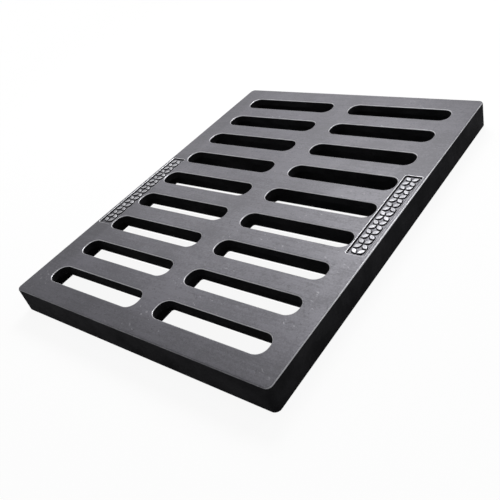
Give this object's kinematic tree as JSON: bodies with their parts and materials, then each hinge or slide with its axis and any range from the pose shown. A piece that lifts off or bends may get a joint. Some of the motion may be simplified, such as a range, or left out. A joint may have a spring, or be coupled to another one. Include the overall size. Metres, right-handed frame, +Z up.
{
  "type": "drain cover",
  "caption": "Rectangular cast iron drain cover with rows of round-ended slots, ribbed below and edged by a skirt that rests in a gully frame.",
  "frame": {"origin": "centre of the plan on the seating face", "axes": "+X along the slots, +Y along the longer side, +Z up out of the road"},
  "size_m": [0.45, 0.6, 0.04],
  "materials": {
    "casting": "as cast, dipped near black, with a satin grey top"
  },
  "bodies": {
    "root": {"grate": "casting"}
  },
  "joints": []
}
